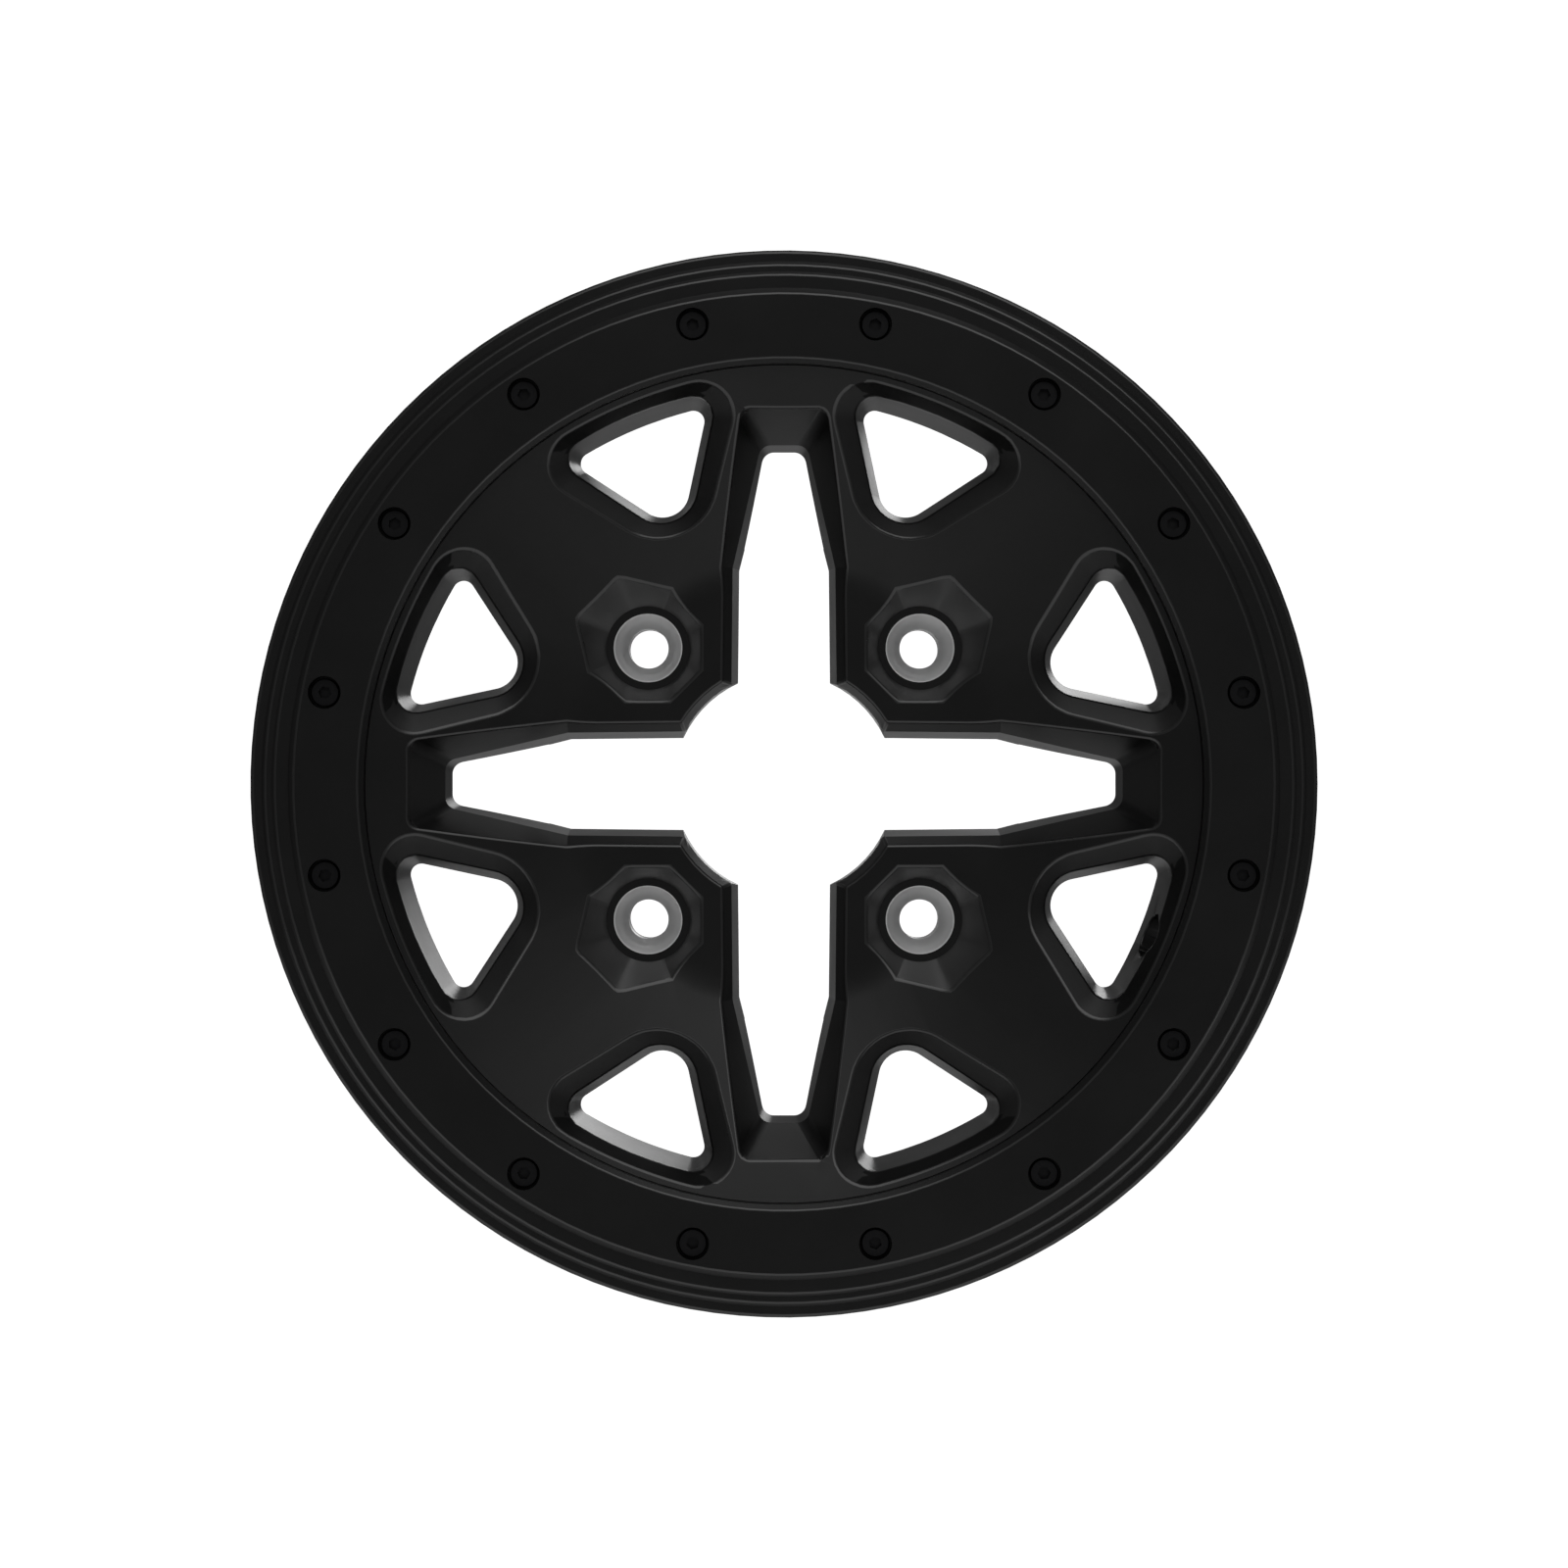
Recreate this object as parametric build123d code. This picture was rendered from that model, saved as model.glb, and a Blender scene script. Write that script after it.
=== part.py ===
from build123d import *
from math import atan2, cos, degrees, hypot, radians, sin, sqrt, tan
import os

# Cast wheel for a small off-road vehicle, with a bolted ring that clamps the outer tyre bead.
# It is drawn lying on its back: X to the right, Y up, Z out of the front face, zero on the hub face.
# The last step stands it up, so that the axle lies along Y and the front looks along -Y.

# Rim: a 14 inch bead seat, 7 inches between the beads, 2 in front of the hub face and 5 behind it
bead_seat_radius = 177.4
bead_seat_width = 12.0
front_bead_height = 50.8
back_bead_depth = 127.0
hump_height = 1.8
hump_width = 3.0
well_depth = 24.0
well_length = 84.0
well_slope = 35.0
barrel_wall = 5.5
flange_height = 11.5
flange_thickness = 7.0
flange_fillet = 4.0
flange_ease = 1.5

# Disc: a flat hub front, a dished face that rises to the ring, and pads that meet the hub
bore_radius = 40.0
hub_front_height = 34.5
hub_front_radius = 75.0
hub_pad_radius = 86.0
hub_pad_height = 8.0
disc_back_height = 27.0

# Ring and its seat on the casting
ring_width = 40.1
ring_lip_height = 9.7
ring_thickness = 10.0
ring_seat_rise = 1.2
ring_fit = 0.2
ring_edge_ease = 0.9
ring_bore_chamfer = 2.1
register_height = 4.4
shelf_step = 5.4
shelf_drop = 1.3
clamp_land = 10.5
ring_step_inset = [15.6, 8.9, 5.4]
ring_step_drop = [2.1, 1.2, 1.4]

# Ring bolts: low-headed M6 cap screws
bolt_count = 16
bolt_inset = 13.6
bolt_radius = 3.0
bolt_length = 16.0
bolt_head_radius = 5.0
bolt_head_height = 4.0
bolt_hex_across = 4.0
bolt_hex_depth = 2.3
bolt_head_chamfer = 0.4
bolt_clearance = 0.3
bolt_thread_gap = 0.05
bolt_hole_spare = 2.0
counterbore_clearance = 0.75
counterbore_depth = 7.0

# Lug holes: four on a 137 mm circle, with 60 degree seats pressed into shallow eight-sided pockets
lug_count = 4
lug_circle_radius = 68.5
lug_hole_radius = 7.1
lug_pocket_depth = 5.5
lug_floor_apothem = 14.9
lug_pocket_slope = 45.0
lug_pocket_sides = 8
seat_outer_radius = 12.2
seat_cone_radius = 11.9
seat_cone_angle = 60.0
seat_length = 18.0
seat_fit = 0.05
seat_lead = 0.6

# Cross: four tapering arms that open into the bore, under a sloping edge
arm_count = 4
arm_edge_drop = 6.5
arm_root_half_width = 19.1
arm_bend_half_width = 18.3
arm_bend_radius = 77.0
arm_tip_half_width = 8.2
arm_tip_inset = 26.3
arm_tip_corner = 4.5
arm_mouth_corner = 4.0
arm_edge_slope = 25.5
arm_mouth_tip_half_width = 18.0
arm_draft = 6.0
arm_tip_draft = 11.0
bore_edge = 2.5

# Windows: eight rounded triangles, half way between the arms and the spokes
window_count = 8
window_apex_radius = 91.5
window_rim_inset = 6.5
window_half_angle = 13.0
window_corner_round = 7.2
window_apex_round = 12.7
window_bevel = 6.6
window_side_bevel = 6.2
window_rim_bevel = 3.6
window_mouth_apex_round = 22.0
window_mouth_corner_round = 13.0
window_draft = 8.0

# Hollows cast into the back of the four spokes
hollow_inner_radius = 98.0
hollow_outer_radius = 134.0
hollow_half_angle = 12.0
hollow_depth = 12.0
hollow_round = 5.0

# Valve hole in the outer wall of one window
valve_radius = 7.9
valve_window = 7
valve_height = 41.0
valve_slope = 35.0

cut_margin = 2.0

# Places that follow from those sizes
ring_outer_radius = bead_seat_radius + ring_lip_height
ring_bore_radius = ring_outer_radius - ring_width
register_radius = ring_bore_radius - ring_fit
ring_seat_height = front_bead_height + ring_seat_rise
ring_face_height = ring_seat_height + ring_thickness
register_top = ring_seat_height + register_height
bolt_circle_radius = bead_seat_radius - bolt_inset
head_seat_height = ring_face_height - counterbore_depth
lug_floor_height = hub_front_height - lug_pocket_depth
arm_edge_height = hub_front_height - arm_edge_drop
arm_tip_radius = ring_bore_radius - arm_tip_inset
window_rim_radius = ring_bore_radius - window_rim_inset
well_radius = bead_seat_radius - well_depth
barrel_inner_radius = well_radius - barrel_wall
dish_angle = degrees(atan2(register_top - hub_front_height, register_radius - hub_front_radius))


def dish_height(radius):
    return hub_front_height + (radius - hub_front_radius) * tan(radians(dish_angle))


def turned(corners):
    points = []
    for number, (radius, height, ease) in enumerate(corners):
        corner = Vector(radius, height)
        for neighbour in (corners[number - 1], corners[(number + 1) % len(corners)]):
            along = (Vector(neighbour[0], neighbour[1]) - corner).normalized()
            points.append(corner + along * ease)
        if ease == 0:
            points.pop()
    return revolve(Plane.XZ * make_face(Polyline(*points, close=True)), Axis.Z)


def around(count, radius, start=0.0):
    return PolarLocations(radius, count, start)


def casting_blank():
    shelf_height = front_bead_height - shelf_drop
    seat_edge_radius = bead_seat_radius - shelf_step
    hump_radius = bead_seat_radius + hump_height
    well_front = shelf_height - bead_seat_width - well_depth * tan(radians(well_slope))
    well_back = well_front - well_length
    back_seat_front = -back_bead_depth + bead_seat_width
    back_hump = back_seat_front + hump_height + hump_width
    flange_radius = bead_seat_radius + flange_height
    flange_back = -back_bead_depth - flange_thickness
    seat_inner_radius = bead_seat_radius - barrel_wall
    front = [
        (bore_radius, 0, 0),
        (bore_radius, arm_edge_height, 0),
        (bore_radius + bore_edge, hub_front_height, 0),
        (hub_front_radius, hub_front_height, 0),
        (register_radius, register_top, 0),
        (register_radius, ring_seat_height, 0),
    ]
    outside = [
        (seat_edge_radius, ring_seat_height, 0),
        (seat_edge_radius, shelf_height, 0),
        (bead_seat_radius, shelf_height, 0),
        (bead_seat_radius, shelf_height - bead_seat_width, 0),
        (well_radius, well_front, 0),
        (well_radius, well_back, 0),
        (hump_radius, back_hump, 0),
        (hump_radius, back_seat_front + hump_height, 0),
        (bead_seat_radius, back_seat_front, 0),
        (bead_seat_radius, -back_bead_depth, flange_fillet),
        (flange_radius, -back_bead_depth, flange_ease),
        (flange_radius, flange_back, flange_ease),
    ]
    inside = [
        (seat_inner_radius, flange_back, flange_ease),
        (seat_inner_radius, back_hump, 0),
        (barrel_inner_radius, well_back, 0),
        (barrel_inner_radius, disc_back_height, 0),
        (hub_pad_radius, hub_pad_height, 0),
        (hub_pad_radius, 0, 0),
    ]
    return turned(front + outside + inside)


def arm_section(height, half_widths, tip_radius, tip_corner):
    root, bend, tip = half_widths
    right = [(root, 0), (bend, arm_bend_radius), (tip, tip_radius)]
    left = [(-x, y) for x, y in reversed(right)]
    rounds = [0, 0, tip_corner, tip_corner, 0, 0]
    return Plane.XY.offset(height) * make_face(FilletPolyline(*right, *left, radius=rounds, close=True))


def arm_cutter():
    rise = ring_face_height - arm_edge_height
    grow = rise * tan(radians(arm_edge_slope))
    fall = arm_edge_height - hub_pad_height
    inset = fall * tan(radians(arm_draft))
    tip_inset = fall * tan(radians(arm_tip_draft))
    edge_widths = [arm_root_half_width, arm_bend_half_width, arm_tip_half_width]
    mouth_widths = [arm_root_half_width + grow, arm_bend_half_width + grow, arm_mouth_tip_half_width]
    throat_widths = [width - inset for width in edge_widths]
    edge = arm_section(arm_edge_height, edge_widths, arm_tip_radius, arm_tip_corner)
    mouth = arm_section(ring_face_height, mouth_widths, arm_tip_radius + grow, arm_mouth_corner)
    throat = arm_section(hub_pad_height, throat_widths, arm_tip_radius - tip_inset, arm_tip_corner)
    walls = loft([throat, edge], ruled=True) + loft([edge, mouth], ruled=True)
    return walls + extrude(throat, -hub_pad_height - cut_margin)


def window_section(rise, side_grow, rim_grow, apex_round, corner_round):
    half_width = window_rim_radius * sin(radians(window_half_angle))
    half_apex = atan2(half_width, window_rim_radius * cos(radians(window_half_angle)) - window_apex_radius)
    apex_radius = window_apex_radius - side_grow / sin(half_apex)
    rim_radius = window_rim_radius + rim_grow
    side_length = sqrt(rim_radius**2 - (apex_radius * sin(half_apex))**2) - apex_radius * cos(half_apex)
    run = 1 / cos(radians(dish_angle))
    apex_x = (apex_radius - window_apex_radius) * run
    rim_x = (rim_radius - window_apex_radius) * run
    corner_x = apex_x + side_length * cos(half_apex) * run
    corner_y = side_length * sin(half_apex)
    sides = Polyline((corner_x, corner_y), (apex_x, 0), (corner_x, -corner_y))
    rim = ThreePointArc((corner_x, -corner_y), (rim_x, 0), (corner_x, corner_y))
    face = make_face(sides + rim)
    face = fillet(face.vertices().sort_by(Axis.X)[:1], apex_round)
    face = fillet(face.vertices().sort_by(Axis.X)[-2:], corner_round)
    edge_height = dish_height(window_apex_radius) - window_bevel
    return Plane(
        origin=(window_apex_radius, 0, edge_height + rise),
        x_dir=(cos(radians(dish_angle)), 0, sin(radians(dish_angle))),
        z_dir=(-sin(radians(dish_angle)), 0, cos(radians(dish_angle))),
    ) * face


def window_cutter():
    edge = window_section(0, 0, 0, window_apex_round, window_corner_round)
    climb = (window_bevel + cut_margin) / window_bevel
    mouth = window_section(
        window_bevel * climb,
        window_side_bevel * climb,
        window_rim_bevel * climb,
        window_mouth_apex_round,
        window_mouth_corner_round,
    )
    fall = dish_height(window_rim_radius) - disc_back_height
    inset = fall * tan(radians(window_draft))
    floor = window_section(-fall, -inset, -inset, window_apex_round - inset, window_corner_round - inset)
    return loft([floor, edge], ruled=True) + loft([edge, mouth], ruled=True)


def lug_pocket_cutter():
    rise = ring_face_height - lug_floor_height
    apothem = lug_floor_apothem + rise * tan(radians(lug_pocket_slope))
    turn = 180 / lug_pocket_sides
    floor = RegularPolygon(lug_floor_apothem, lug_pocket_sides, major_radius=False, rotation=turn)
    mouth = RegularPolygon(apothem, lug_pocket_sides, major_radius=False, rotation=turn)
    sections = [Plane.XY.offset(lug_floor_height) * floor, Plane.XY.offset(ring_face_height) * mouth]
    return loft(sections, ruled=True)


def upright(radius, bottom, top):
    return Pos(0, 0, bottom) * Cylinder(radius, top - bottom, align=(Align.CENTER, Align.CENTER, Align.MIN))


def spoke_hollow_cutter():
    inner = hollow_inner_radius
    outer = hollow_outer_radius
    half = radians(hollow_half_angle)
    narrow = inner * sin(half)
    wide = outer * sin(half) / 2
    outline = [(inner, -narrow), (outer, -wide), (outer, wide), (inner, narrow)]
    face = make_face(FilletPolyline(*outline, radius=hollow_round, close=True))
    top = disc_back_height - hub_pad_height + hollow_depth
    return extrude(face, top)


def valve_cutter():
    slope = radians(valve_slope)
    direction = Vector(cos(slope), 0, -sin(slope))
    wall_point = Vector(window_rim_radius, 0, valve_height)
    length = hypot(well_depth, barrel_wall) + window_rim_inset + bead_seat_width
    start = wall_point - direction * bead_seat_width
    return extrude(Plane(origin=start, z_dir=direction) * Circle(valve_radius), length)


def wheel_casting():
    casting = casting_blank()
    arms = arm_cutter()
    for place in around(arm_count, 0):
        casting -= place * arms
    window = window_cutter()
    for place in around(window_count, 0, 180 / window_count):
        casting -= place * window
    pocket = lug_pocket_cutter()
    seat_bore = upright(seat_outer_radius + seat_fit, lug_floor_height - seat_length, ring_face_height)
    stud_hole = upright(lug_hole_radius, -cut_margin, ring_face_height)
    for place in around(lug_count, lug_circle_radius, 180 / lug_count):
        casting -= place * (pocket + seat_bore + stud_hole)
    hollow = spoke_hollow_cutter()
    for place in around(lug_count, 0, 180 / lug_count):
        casting -= place * hollow
    tapped_depth = head_seat_height - bolt_length - bolt_hole_spare
    tapped = upright(bolt_radius + bolt_thread_gap, tapped_depth, ring_face_height)
    for place in around(bolt_count, bolt_circle_radius, 180 / bolt_count):
        casting -= place * tapped
    valve_turn = 360 * (valve_window + 0.5) / window_count
    return casting - Rot(0, 0, valve_turn) * valve_cutter()


def beadlock_ring():
    clamp_radius = ring_outer_radius - clamp_land
    corners = [
        (ring_bore_radius, ring_seat_height, 0),
        (ring_bore_radius, ring_face_height - ring_bore_chamfer, 0),
        (ring_bore_radius + ring_bore_chamfer, ring_face_height, 0),
    ]
    height = ring_face_height
    for inset, drop in zip(ring_step_inset, ring_step_drop):
        step_radius = ring_outer_radius - inset
        corners += [(step_radius, height, 0), (step_radius + drop, height - drop, 0)]
        height -= drop
    corners += [
        (ring_outer_radius, height, ring_edge_ease),
        (ring_outer_radius, front_bead_height, ring_edge_ease),
        (clamp_radius, front_bead_height, 0),
        (clamp_radius - ring_seat_rise, ring_seat_height, 0),
    ]
    ring = turned(corners)
    clear_hole = upright(bolt_radius + bolt_clearance, 0, ring_face_height)
    counterbore = upright(bolt_head_radius + counterbore_clearance, head_seat_height, ring_face_height)
    for place in around(bolt_count, bolt_circle_radius, 180 / bolt_count):
        ring -= place * (clear_hole + counterbore)
    return ring


def ring_bolt():
    head = upright(bolt_head_radius, head_seat_height, head_seat_height + bolt_head_height)
    head = chamfer(head.edges().group_by(Axis.Z)[-1], bolt_head_chamfer)
    shank = upright(bolt_radius, head_seat_height - bolt_length, head_seat_height)
    socket = RegularPolygon(bolt_hex_across / 2, 6, major_radius=False)
    socket_floor = head_seat_height + bolt_head_height - bolt_hex_depth
    return head + shank - extrude(Plane.XY.offset(socket_floor) * socket, bolt_hex_depth)


def lug_seat_insert():
    cone_depth = (seat_cone_radius - lug_hole_radius) / tan(radians(seat_cone_angle / 2))
    bottom = lug_floor_height - seat_length
    corners = [
        (lug_hole_radius, bottom, 0),
        (lug_hole_radius, lug_floor_height - cone_depth, 0),
        (seat_cone_radius, lug_floor_height, 0),
        (seat_outer_radius, lug_floor_height, 0),
        (seat_outer_radius, bottom, seat_lead),
    ]
    return turned(corners)


def save(name, solids):
    upright_solids = [Rot(90, 0, 0) * solid for solid in solids]
    shape = upright_solids[0] if len(upright_solids) == 1 else Compound(children=upright_solids)
    export_step(shape, f"parts/{name}.step")


def main():
    os.makedirs("parts", exist_ok=True)
    save("wheel_casting", [wheel_casting()])
    save("beadlock_ring", [beadlock_ring()])
    bolt = ring_bolt()
    save("ring_bolts", [place * bolt for place in around(bolt_count, bolt_circle_radius, 180 / bolt_count)])
    insert = lug_seat_insert()
    for number, place in enumerate(around(lug_count, lug_circle_radius, 180 / lug_count), 1):
        save(f"lug_seat_insert_{number}", [place * insert])


main()
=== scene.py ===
import math
import bmesh
import bpy
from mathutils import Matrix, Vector, kdtree


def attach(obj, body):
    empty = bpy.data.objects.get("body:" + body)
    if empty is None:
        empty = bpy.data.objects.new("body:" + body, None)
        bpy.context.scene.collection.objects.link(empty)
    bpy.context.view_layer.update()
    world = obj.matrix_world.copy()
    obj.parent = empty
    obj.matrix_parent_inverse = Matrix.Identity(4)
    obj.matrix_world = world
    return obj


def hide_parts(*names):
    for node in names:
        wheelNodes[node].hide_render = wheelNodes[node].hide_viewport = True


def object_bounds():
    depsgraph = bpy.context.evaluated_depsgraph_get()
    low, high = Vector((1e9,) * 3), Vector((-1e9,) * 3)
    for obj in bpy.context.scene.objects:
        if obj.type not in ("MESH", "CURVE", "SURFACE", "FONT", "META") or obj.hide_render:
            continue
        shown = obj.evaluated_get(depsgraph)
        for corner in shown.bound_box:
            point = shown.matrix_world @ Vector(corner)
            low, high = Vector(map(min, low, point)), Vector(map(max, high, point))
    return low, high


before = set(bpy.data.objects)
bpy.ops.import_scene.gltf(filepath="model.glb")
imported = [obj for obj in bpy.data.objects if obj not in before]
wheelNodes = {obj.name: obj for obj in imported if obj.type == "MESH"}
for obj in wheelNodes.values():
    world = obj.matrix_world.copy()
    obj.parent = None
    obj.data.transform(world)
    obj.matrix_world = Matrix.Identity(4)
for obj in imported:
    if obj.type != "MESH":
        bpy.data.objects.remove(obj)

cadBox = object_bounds()
scene = bpy.context.scene
scene.view_settings.view_transform = "Standard"
print("frame loaded:", ", ".join(sorted(wheelNodes)))


def hexToLinear(code):
    values = [int(code[i:i + 2], 16) / 255 for i in (1, 3, 5)]
    return [v / 12.92 if v <= 0.04045 else ((v + 0.055) / 1.055) ** 2.4 for v in values] + [1.0]


def addNode(tree, kind, settings=None, links=None):
    node = tree.nodes.new(kind)
    for name, value in (settings or {}).items():
        if isinstance(name, int) or name in node.inputs:
            node.inputs[name].default_value = value
        else:
            setattr(node, name, value)
    for name, source in (links or {}).items():
        tree.links.new(source, node.inputs[name])
    return node


def newMaterial(name):
    material = bpy.data.materials.new(name)
    material.use_nodes = True
    material.node_tree.nodes.clear()
    return material, material.node_tree


coating = {
    "colour": "#151515", "dustColour": "#191919", "roughness": (0.30, 0.36), "ior": 1.4,
    "mottleMm": 30.0, "mottleDetail": 3.0, "mottleSpan": (0.3, 0.7),
    "peelMm": 1.6, "peelDetail": 2.0, "peelDepthMm": 0.012,
}
paintedEdgeHighlight = dict(coating, colour="#171717", dustColour="#1d1d1d",
              roughness=(0.26, 0.32), ior=1.7)  # a shade lighter and shinier on the broken edges: painted edge highlight
socketed = dict(coating, roughness=(0.34, 0.42), ior=1.9)  # rubbed by sockets round the lug nuts
asCast = dict(coating, roughness=(0.46, 0.56), ior=1.7)  # over the rougher skin that no tool has cut


def powderCoat(name, spec):  # baked satin powder over metal: near black, soft broad shine, faint orange peel
    material, tree = newMaterial(name)
    place = addNode(tree, "ShaderNodeTexCoord").outputs["Object"]
    mottle = addNode(tree, "ShaderNodeTexNoise",
                     {"Scale": 1000 / spec["mottleMm"], "Detail": spec["mottleDetail"]}, {"Vector": place})
    peel = addNode(tree, "ShaderNodeTexNoise",
                   {"Scale": 1000 / spec["peelMm"], "Detail": spec["peelDetail"]}, {"Vector": place})
    colours = {6: hexToLinear(spec["colour"]), 7: hexToLinear(spec["dustColour"])}  # the mix's colour sockets
    tone = addNode(tree, "ShaderNodeMix", {"data_type": "RGBA", **colours}, {0: mottle.outputs["Fac"]})
    least, most = spec["mottleSpan"]
    low, high = spec["roughness"]
    shine = addNode(tree, "ShaderNodeMapRange",
                    {"From Min": least, "From Max": most, "To Min": low, "To Max": high},
                    {"Value": mottle.outputs["Fac"]})
    bump = addNode(tree, "ShaderNodeBump", {"Strength": 1.0, "Distance": spec["peelDepthMm"] / 1000},
                   {"Height": peel.outputs["Fac"]})
    shader = addNode(tree, "ShaderNodeBsdfPrincipled", {"IOR": spec["ior"]},
                     {"Base Color": tone.outputs[2], "Roughness": shine.outputs["Result"],
                      "Normal": bump.outputs["Normal"]})
    addNode(tree, "ShaderNodeOutputMaterial", links={"Surface": shader.outputs["BSDF"]})
    return material


oxide = {"colour": "#2c2c2d", "roughness": 0.45,
         "grainMm": 0.8, "grainDetail": 3.0, "grainDepthMm": 0.01}  # the real grain is too fine to show


def oxidisedSteel(name, spec):  # hot-blackened steel: dull black metal with a faint grain
    material, tree = newMaterial(name)
    place = addNode(tree, "ShaderNodeTexCoord").outputs["Object"]
    grain = addNode(tree, "ShaderNodeTexNoise",
                    {"Scale": 1000 / spec["grainMm"], "Detail": spec["grainDetail"]}, {"Vector": place})
    bump = addNode(tree, "ShaderNodeBump", {"Strength": 1.0, "Distance": spec["grainDepthMm"] / 1000},
                   {"Height": grain.outputs["Fac"]})
    shader = addNode(tree, "ShaderNodeBsdfPrincipled",
                     {"Base Color": hexToLinear(spec["colour"]), "Metallic": 1.0,
                      "Roughness": spec["roughness"]}, {"Normal": bump.outputs["Normal"]})
    addNode(tree, "ShaderNodeOutputMaterial", links={"Surface": shader.outputs["BSDF"]})
    return material


turnedSeat = {"colour": "#f4f4f4", "roughness": (0.46, 0.54), "circleMm": 68.5,
              "ringMm": 2.2, "ringDepthMm": 0.006, "ringWander": 0.4}  # real tool rings are too fine to show
waveRings = 20 / (2 * math.pi)  # rings to a unit that a wave texture draws at scale 1


def turnedSteel(name, spec):  # bright turned steel: broad soft reflections over faint tool rings
    material, tree = newMaterial(name)
    place = addNode(tree, "ShaderNodeTexCoord").outputs["Object"]
    folded = addNode(tree, "ShaderNodeVectorMath", {"operation": "ABSOLUTE"}, {0: place})  # four seats as one
    centre = spec["circleMm"] / 1000 / math.sqrt(2)
    local = addNode(tree, "ShaderNodeVectorMath", {"operation": "SUBTRACT", 1: (centre, 0, centre)},
                    {0: folded.outputs["Vector"]})
    rings = addNode(tree, "ShaderNodeTexWave",
                    {"wave_type": "RINGS", "rings_direction": "Y",
                     "Scale": 1000 / spec["ringMm"] / waveRings, "Distortion": spec["ringWander"]},
                    {"Vector": local.outputs["Vector"]})
    low, high = spec["roughness"]
    shine = addNode(tree, "ShaderNodeMapRange", {"To Min": low, "To Max": high},
                    {"Value": rings.outputs["Fac"]})
    bump = addNode(tree, "ShaderNodeBump", {"Strength": 1.0, "Distance": spec["ringDepthMm"] / 1000},
                   {"Height": rings.outputs["Fac"]})
    shader = addNode(tree, "ShaderNodeBsdfPrincipled",
                     {"Base Color": hexToLinear(spec["colour"]), "Metallic": 1.0},
                     {"Roughness": shine.outputs["Result"], "Normal": bump.outputs["Normal"]})
    addNode(tree, "ShaderNodeOutputMaterial", links={"Surface": shader.outputs["BSDF"]})
    return material


castCoat = powderCoat("powderCoatedCastAluminium", coating)
ringCoat = powderCoat("powderCoatedTurnedAluminium", coating)
# coat for the broken edges, a shade lighter than the rest: painted edge highlight
paintedHighlightCoat = powderCoat("powderCoatPaintedEdgeHighlight", paintedEdgeHighlight)
pocketCoat = powderCoat("powderCoatRubbedBySockets", socketed)
skinCoat = powderCoat("powderCoatOverCastSkin", asCast)
boltOxide = oxidisedSteel("blackOxideSteel", oxide)
seatSteel = turnedSteel("turnedBrightSteel", turnedSeat)
finishes = {"wheel_casting": castCoat, "beadlock_ring": ringCoat, "ring_bolts": boltOxide}
for nodeName, node in wheelNodes.items():
    node.data.materials.clear()
    node.data.materials.append(finishes.get(nodeName, seatSteel))
print("finishes laid on", len(wheelNodes), "nodes")


boltHoles = {"circleMm": 163.8, "count": 16, "reachMm": 6.5}
castWheelSet = {
    "piece": "castWheel", "slot": "black_coated_casting",
    "coats": (castCoat, paintedHighlightCoat, pocketCoat, skinCoat),
    "breakMm": 0.8, "breakSteps": 2,
    "armCorners": {"alongMm": (118.0, 137.0), "acrossMm": (4.0, 20.0), "heightMm": (27.0, 56.0), "weldMm": 0.6},
    "blend": {"radiusMm": 75.0, "heightMm": 34.5, "widthMm": 6.0, "steps": 5, "roundness": 0.5},
    "pockets": {"circleMm": 68.5, "floorMm": 29.0, "floorRadiusMm": 14.9, "reachMm": 36.0, "stepMm": 3.0,
                "drawIn": 0.935, "cornerMm": 26.7, "hubEdgeMm": 75.0, "hubHeightMm": 34.5, "softMm": 5.8},
    "skin": {"degrees": (35.0, 58.0), "radiusMm": (80.0, 146.0), "heightMm": (22.0, 62.0)},
    "fitted": {"radiusMm": 146.8, "heightMm": 56.4},
    "behind": {"radiusMm": 146.0, "heightMm": 31.0},
}
clampRingSet = {
    "piece": "clampRing", "slot": "black_coated_ring",
    "coats": (ringCoat, paintedHighlightCoat),
    "breakMm": 0.45, "breakSteps": 2,
}
paintedHighlightAt, pocketCoatAt, skinCoatAt = 1, 2, 3  # places in a piece's coats
creaseDegrees, breakDegrees, flatDegrees = 5.0, 9.0, 0.6
weldMm, circleSlackMm, levelSlackMm = 0.002, 0.1, 0.01
wallPatch, floorPatch = -1, -2  # labels of the lug pockets' own faces


def radiusMm(place):  # from the axle
    return math.hypot(place.x, place.z) * 1000


def heightMm(place):  # towards the front
    return -place.y * 1000


def facePatches(shape):  # the loaded mesh is split along the solid's edges, so each patch is one of its faces
    patch = shape.faces.layers.int.new("patch")
    count = 0
    for first in shape.faces:
        if first[patch]:
            continue
        count += 1
        first[patch] = count
        pile = [first]
        while pile:
            for edge in pile.pop().edges:
                for face in edge.link_faces:
                    if not face[patch]:
                        face[patch] = count
                        pile.append(face)
    return patch


def onCircle(edge, circle):  # the edge lies on a circle round the axle
    return all(abs(radiusMm(v.co) - circle["radiusMm"]) < circleSlackMm
               and abs(heightMm(v.co) - circle["heightMm"]) < circleSlackMm for v in edge.verts)


def isDrilled(edge):  # the edge runs round one of the bolt holes
    middle = (edge.verts[0].co + edge.verts[1].co) / 2
    step = 2 * math.pi / boltHoles["count"]
    turn = (math.floor(math.atan2(middle.z, middle.x) / step) + 0.5) * step
    circle = boltHoles["circleMm"] / 1000
    away = math.hypot(middle.x - circle * math.cos(turn), middle.z - circle * math.sin(turn))
    return away * 1000 < boltHoles["reachMm"]


def isBehind(edge, behind):  # the edge is on the back of the disc
    return all(radiusMm(v.co) < behind["radiusMm"] and heightMm(v.co) < behind["heightMm"] for v in edge.verts)


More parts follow.
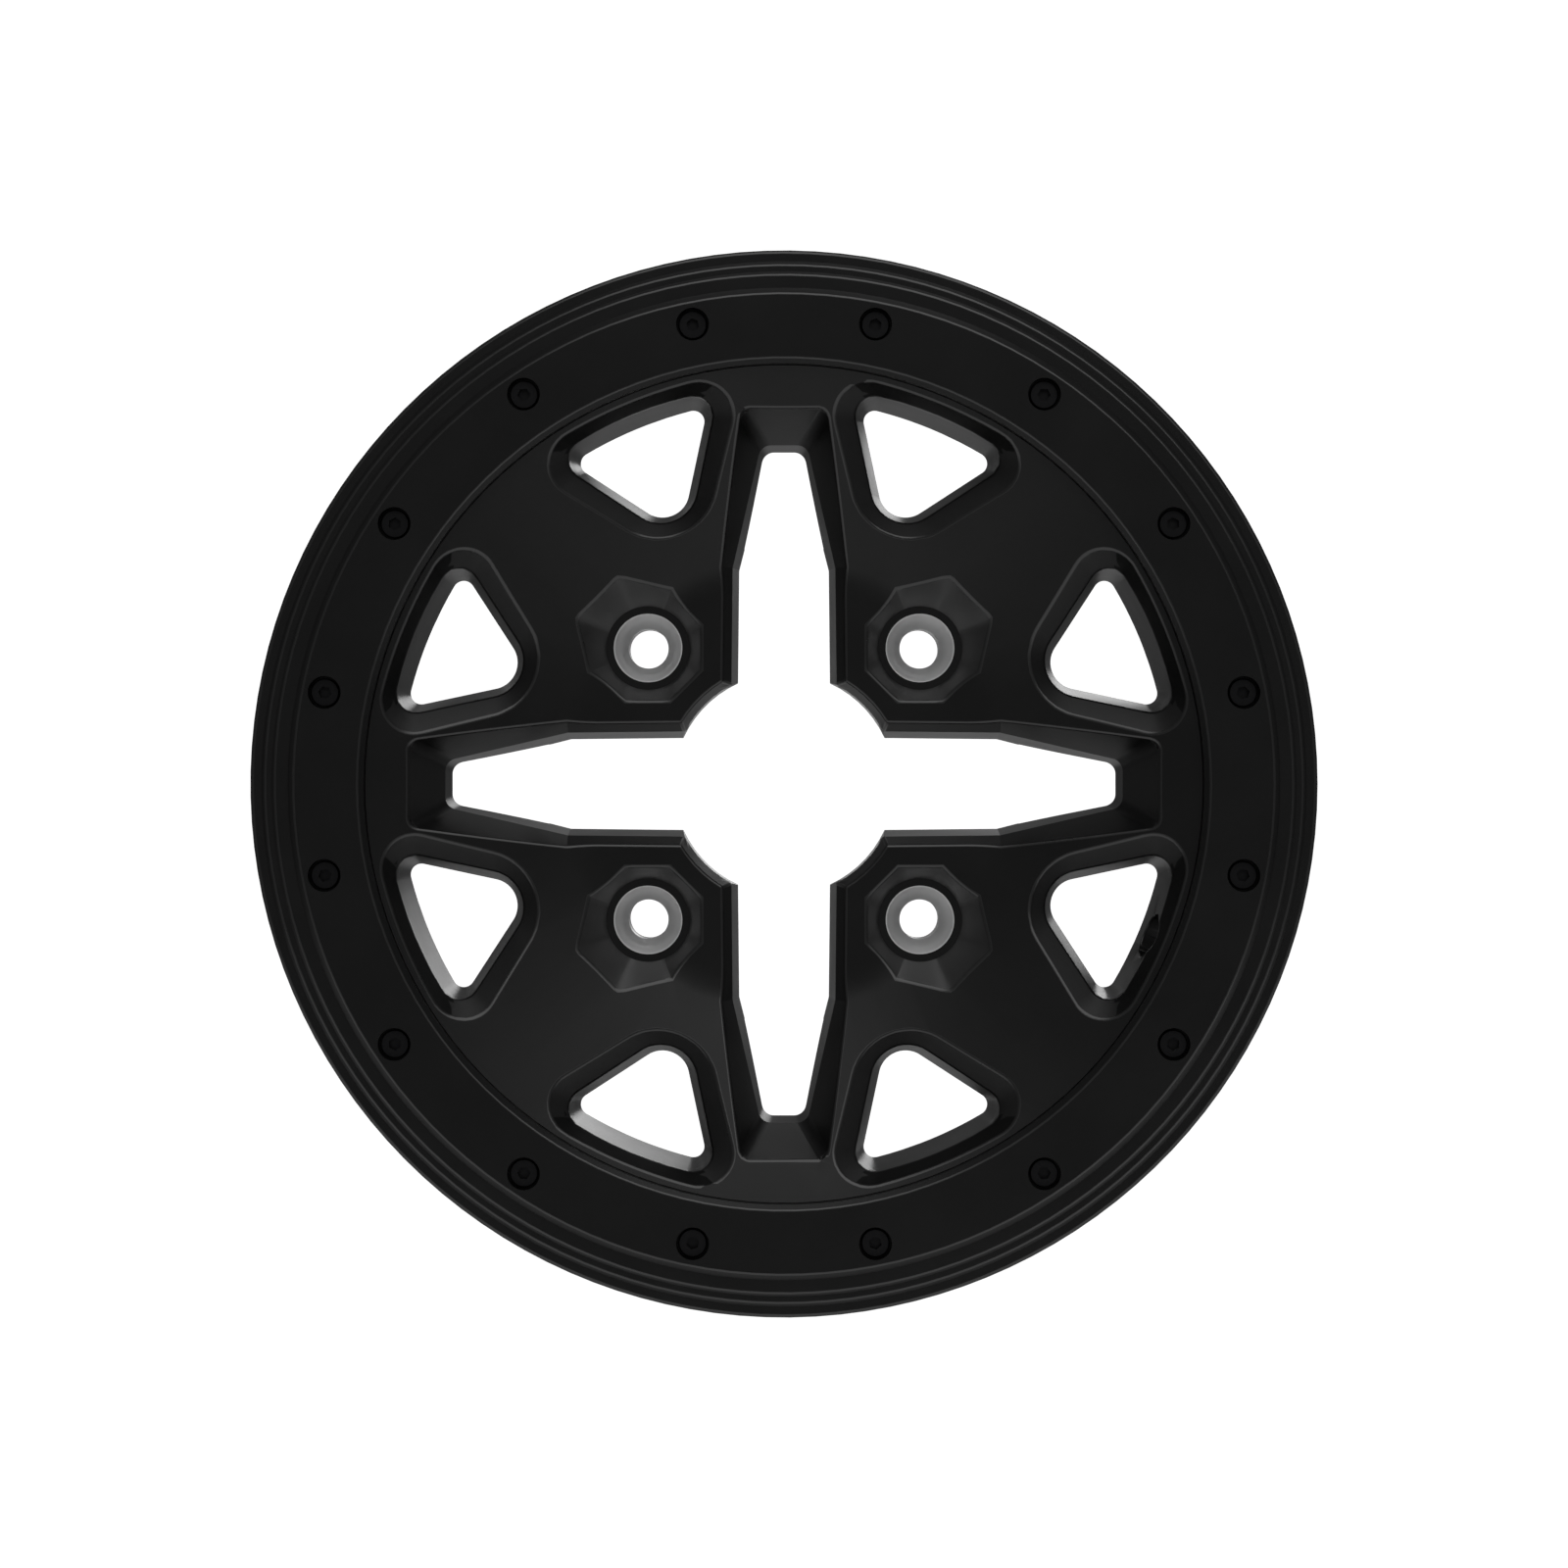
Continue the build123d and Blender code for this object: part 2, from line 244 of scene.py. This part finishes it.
def isCastSlope(face, skin):  # a slanting side of a window pocket
    middle = face.calc_center_median()
    tilt = math.degrees(math.acos(max(-1.0, min(1.0, -face.normal.y))))
    values = {"degrees": tilt, "radiusMm": radiusMm(middle), "heightMm": heightMm(middle)}
    return all(low < values[key] < high for key, (low, high) in skin.items())


def inArmCorner(vert, corners):  # near a rounded corner at the tip of an arm
    across, along = sorted((abs(vert.co.x) * 1000, abs(vert.co.z) * 1000))
    values = {"alongMm": along, "acrossMm": across, "heightMm": heightMm(vert.co)}
    return all(corners[key][0] < value < corners[key][1] for key, value in values.items())


def pocketTurn(place, centre):  # angle round a lug hole
    return math.atan2(place.z - centre[1], place.x - centre[0])


def pocketReach(place, centre):  # distance from a lug hole's axis
    return math.hypot(place.x - centre[0], place.z - centre[1])


def openPocket(shape, centre, spec):  # takes out a lug pocket's flat walls and floor, and finds both rims
    floorAt, slack = -spec["floorMm"] / 1000, levelSlackMm / 1000

    def onFloor(vert):
        return abs(vert.co.y - floorAt) < slack

    def inPocket(vert):
        return pocketReach(vert.co, centre) * 1000 < spec["reachMm"] and vert.co.y < floorAt + slack

    flats = [face for face in shape.faces
             if all(inPocket(v) for v in face.verts) and sum(onFloor(v) for v in face.verts) > 1]
    bmesh.ops.delete(shape, geom=flats, context="FACES")
    rims = [edge for edge in shape.edges if edge.is_boundary]
    bore = [edge for edge in rims if all(onFloor(v) for v in edge.verts)]
    for edge in [edge for edge in rims if edge not in bore]:  # short steps let the wall turn smoothly
        vert = edge.verts[0]
        for left in range(math.ceil(edge.calc_length() * 1000 / spec["stepMm"]), 1, -1):
            vert = bmesh.utils.edge_split(edge, vert, 1 / left)[1]
    boreVerts = {v for edge in bore for v in edge.verts}
    mouth = {v for edge in shape.edges if edge.is_boundary for v in edge.verts} - boreVerts
    return bore, sorted(mouth, key=lambda v: pocketTurn(v.co, centre))


def drawnIn(place, centre, slope, spec):  # a point of the mouth, moved in along the hub and the dish
    turn = pocketTurn(place, centre)
    away = min(pocketReach(place, centre) * spec["drawIn"], spec["cornerMm"] / 1000)
    x, z = centre[0] + away * math.cos(turn), centre[1] + away * math.sin(turn)
    over, soft = math.hypot(x, z) - spec["hubEdgeMm"] / 1000, spec["softMm"] / 1000
    rise = 0 if over < -soft else over if over > soft else (over + soft) ** 2 / (4 * soft)
    return x, -spec["hubHeightMm"] / 1000 - slope * rise, z


def roundPocket(shape, patch, centre, spec):  # new walls close in on a round floor
    bore, mouth = openPocket(shape, centre, spec)
    outermost = max((v.co for v in mouth), key=radiusMm)
    slope = (heightMm(outermost) - spec["hubHeightMm"]) / (radiusMm(outermost) - spec["hubEdgeMm"])
    radius, floorAt = spec["floorRadiusMm"] / 1000, -spec["floorMm"] / 1000
    foot = []
    for vert in mouth:
        vert.co = drawnIn(vert.co, centre, slope, spec)
        turn = pocketTurn(vert.co, centre)
        foot.append(shape.verts.new((centre[0] + radius * math.cos(turn), floorAt,
                                     centre[1] + radius * math.sin(turn))))
    for i in range(len(mouth)):
        wall = shape.faces.new((mouth[i - 1], mouth[i], foot[i], foot[i - 1]))
        wall[patch] = wallPatch
        wall.material_index = pocketCoatAt
    footEdges = [shape.edges.get((foot[i - 1], foot[i])) for i in range(len(foot))]
    for made in bmesh.ops.triangle_fill(shape, use_beauty=True, edges=footEdges + bore)["geom"]:
        if isinstance(made, bmesh.types.BMFace):
            made[patch] = floorPatch


def staysSharp(edge, patch, spec):  # drilled, out of sight, or another piece sits against it
    return ("fitted" in spec and onCircle(edge, spec["fitted"])
            or "behind" in spec and isBehind(edge, spec["behind"])
            or isDrilled(edge)
            or any(face[patch] == floorPatch for face in edge.link_faces))


def markEdges(shape, patch, spec):  # edges of the solid shade as creases, and its outward corners are broken
    weight = shape.edges.layers.float.new("bevel_weight_edge")
    for edge in shape.edges:
        if len(edge.link_faces) == 2 and edge.link_faces[0][patch] != edge.link_faces[1][patch]:
            bend = math.degrees(edge.calc_face_angle(0))
            edge.smooth = bend < creaseDegrees
            outward = bend >= breakDegrees and edge.is_convex
            edge[weight] = float(outward and not staysSharp(edge, patch, spec))


def softShape(source, spec):  # the solid's mesh with its soft forms
    shape = bmesh.new()
    shape.from_mesh(source)
    patch = facePatches(shape)
    bmesh.ops.remove_doubles(shape, verts=shape.verts, dist=weldMm / 1000)
    if "armCorners" in spec:  # the solid's mesh crowds here
        crowd = [vert for vert in shape.verts if inArmCorner(vert, spec["armCorners"])]
        bmesh.ops.remove_doubles(shape, verts=crowd, dist=spec["armCorners"]["weldMm"] / 1000)
    bmesh.ops.dissolve_limit(shape, angle_limit=math.radians(flatDegrees),
                             verts=shape.verts, edges=shape.edges)
    if "blend" in spec:  # the hub runs into the dish in a broad curve
        blend = spec["blend"]
        crease = [edge for edge in shape.edges if onCircle(edge, blend)]
        bmesh.ops.bevel(shape, geom=crease, offset=blend["widthMm"] / 1000, segments=blend["steps"],
                        profile=blend["roundness"], affect="EDGES", clamp_overlap=False, loop_slide=True)
        bmesh.ops.remove_doubles(shape, verts=shape.verts, dist=weldMm / 1000)
    if "pockets" in spec:
        reach = spec["pockets"]["circleMm"] / 1000 / math.sqrt(2)
        for centre in ((reach, reach), (-reach, reach), (-reach, -reach), (reach, -reach)):
            roundPocket(shape, patch, centre, spec["pockets"])
        bmesh.ops.recalc_face_normals(shape, faces=shape.faces)
    for face in shape.faces:
        face.smooth = True
        if "skin" in spec and face[patch] > 0 and isCastSlope(face, spec["skin"]):
            face.material_index = skinCoatAt
    markEdges(shape, patch, spec)
    return shape


def softenedPiece(nodeName, spec):  # its edges are broken, as tumbling and a coat of powder leave them
    mesh = bpy.data.meshes.new(spec["piece"])
    shape = softShape(wheelNodes[nodeName].data, spec)
    shape.to_mesh(mesh)
    shape.free()
    for coat in spec["coats"]:
        mesh.materials.append(coat)
    piece = bpy.data.objects.new(spec["piece"], mesh)
    scene.collection.objects.link(piece)
    soft = piece.modifiers.new("breakEdges", "BEVEL")
    soft.limit_method = "WEIGHT"
    soft.width = spec["breakMm"] / 1000
    soft.segments = spec["breakSteps"]
    # the broken edges take the lighter coat: painted edge highlight
    soft.material = paintedHighlightAt
    soft.use_clamp_overlap = False
    soft.harden_normals = True
    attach(piece, "root")
    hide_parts(nodeName)
    return piece


easing = {"rounds": 3, "foldCosine": -0.8, "reachMm": 1.0, "shortMm": 5.0}


def foldedPlaces(piece):  # where broken edges overlap themselves
    bpy.context.view_layer.update()
    shown = piece.evaluated_get(bpy.context.evaluated_depsgraph_get())
    shape = bmesh.new()
    shape.from_mesh(shown.to_mesh())
    shown.to_mesh_clear()
    bmesh.ops.triangulate(shape, faces=shape.faces)
    pairs = [edge for edge in shape.edges if len(edge.link_faces) == 2]
    places = [(edge.verts[0].co + edge.verts[1].co) / 2 for edge in pairs
              if edge.link_faces[0].normal.dot(edge.link_faces[1].normal) < easing["foldCosine"]]
    shape.free()
    return places


def easeFolds(piece):  # a short edge that can't take the full width is left sharp
    for trial in range(easing["rounds"]):
        places = foldedPlaces(piece)
        print(piece.name, "folds:", len(places))
        if not places:
            return
        tree = kdtree.KDTree(len(places))
        for i, place in enumerate(places):
            tree.insert(place, i)
        tree.balance()
        weights = piece.data.attributes["bevel_weight_edge"].data
        longest = easing["shortMm"] * (1 + trial) / 1000
        for edge in piece.data.edges:
            if weights[edge.index].value == 0:
                continue
            first, last = (piece.data.vertices[v].co for v in edge.vertices)
            near = min(tree.find(first.lerp(last, t))[2] for t in (0, 0.5, 1)) * 1000  # from its ends or middle
            if near < easing["reachMm"] and (last - first).length < longest:
                weights[edge.index].value = 0
        piece.data.update()


for nodeName, spec in (("wheel_casting", castWheelSet), ("beadlock_ring", clampRingSet)):
    piece = softenedPiece(nodeName, spec)
    easeFolds(piece)
    print(piece.name, "stands for", nodeName, "with", len(piece.data.polygons), "faces before the breaking")


stageSet = {
    "floorDrop": 0.41, "floorRadius": 1.85, "floorStepDegrees": 3, "floorGlow": 0.28,
    "wallBehind": 60.0, "wallHalf": 10.3, "wallGlow": 1.0,
    "paper": "#f2f2f2", "glowColour": "#ffffff",
}


def paperMaterial(name, spec, strength):  # matt white studio paper: takes the shadow, looks pale to the eye
    material, tree = newMaterial(name)
    rays = addNode(tree, "ShaderNodeLightPath")
    seen = addNode(tree, "ShaderNodeMath", {"operation": "MAXIMUM"},
                   {0: rays.outputs["Is Camera Ray"], 1: rays.outputs["Is Glossy Ray"]})
    seen = addNode(tree, "ShaderNodeMath", {"operation": "MAXIMUM"},
                   {0: seen.outputs[0], 1: rays.outputs["Is Transmission Ray"]})
    level = addNode(tree, "ShaderNodeMath", {"operation": "MULTIPLY", 1: strength}, {0: seen.outputs[0]})
    glow = addNode(tree, "ShaderNodeEmission", {"Color": hexToLinear(spec["glowColour"])},
                   {"Strength": level.outputs[0]})
    matt = addNode(tree, "ShaderNodeBsdfDiffuse", {"Color": hexToLinear(spec["paper"])})
    both = addNode(tree, "ShaderNodeAddShader", links={0: matt.outputs[0], 1: glow.outputs[0]})
    addNode(tree, "ShaderNodeOutputMaterial", links={"Surface": both.outputs[0]})
    return material


def stageSheet(name, corners, material):
    mesh = bpy.data.meshes.new(name)
    mesh.from_pydata(corners, [], [tuple(range(len(corners)))])
    mesh.materials.append(material)
    sheet = bpy.data.objects.new(name, mesh)
    scene.collection.objects.link(sheet)


floorHeight = cadBox[0][2] - stageSet["floorDrop"]
floorReach = stageSet["floorRadius"]
floorPaper = paperMaterial("palePaperFloor", stageSet, stageSet["floorGlow"])
floorTurns = [math.radians(a) for a in range(0, 360, stageSet["floorStepDegrees"])]
stageSheet("floor", [(floorReach * math.cos(turn), floorReach * math.sin(turn), floorHeight)
                     for turn in floorTurns], floorPaper)
wallHalf, wallBehind = stageSet["wallHalf"], stageSet["wallBehind"]
wallPaper = paperMaterial("whitePaperBackdrop", stageSet, stageSet["wallGlow"])
stageSheet("backdrop", [(-wallHalf, wallBehind, -wallHalf), (wallHalf, wallBehind, -wallHalf),
                        (wallHalf, wallBehind, wallHalf), (-wallHalf, wallBehind, wallHalf)], wallPaper)
print("floor and backdrop set")


lamps = {
    "overheadSoftbox": {"at": (0.3, -1.4, 1.95), "size": (2.2, 3.0), "watts": 23},
    "behindTop": {"at": (0.6, 1.5, 2.0), "size": (1.6, 1.0), "watts": 3},
    "behindRight": {"at": (2.1, 7.4, 2.4), "size": (3.0, 3.0), "watts": 58},
}
room = {"colour": "#ffffff", "strength": 0.13}
for lampName, lamp in lamps.items():
    light = bpy.data.lights.new(lampName, "AREA")
    light.shape = "RECTANGLE"
    light.size, light.size_y = lamp["size"]
    light.energy = lamp["watts"]
    holder = bpy.data.objects.new(lampName, light)
    holder.location = lamp["at"]
    holder.rotation_euler = (-Vector(lamp["at"])).to_track_quat("-Z", "Y").to_euler()
    holder.visible_camera = False  # other views may look towards a lamp
    scene.collection.objects.link(holder)
world = bpy.data.worlds.new("studioRoom")
world.use_nodes = True
roomLight = world.node_tree.nodes["Background"]
roomLight.inputs["Color"].default_value = hexToLinear(room["colour"])
roomLight.inputs["Strength"].default_value = room["strength"]
scene.world = world
print("lamps lit:", len(lamps))


cameraSet = {"distance": 1.7289, "lens": 109.56, "sensor": 36.0, "farClip": 200.0}
lens = bpy.data.cameras.new("photoCamera")
lens.lens = cameraSet["lens"]
lens.sensor_width = cameraSet["sensor"]
lens.clip_end = cameraSet["farClip"]
camera = bpy.data.objects.new("photoCamera", lens)
camera.location = (0, -cameraSet["distance"], 0)
camera.rotation_euler = (math.pi / 2, 0, 0)
scene.collection.objects.link(camera)
scene.camera = camera
print("camera placed")
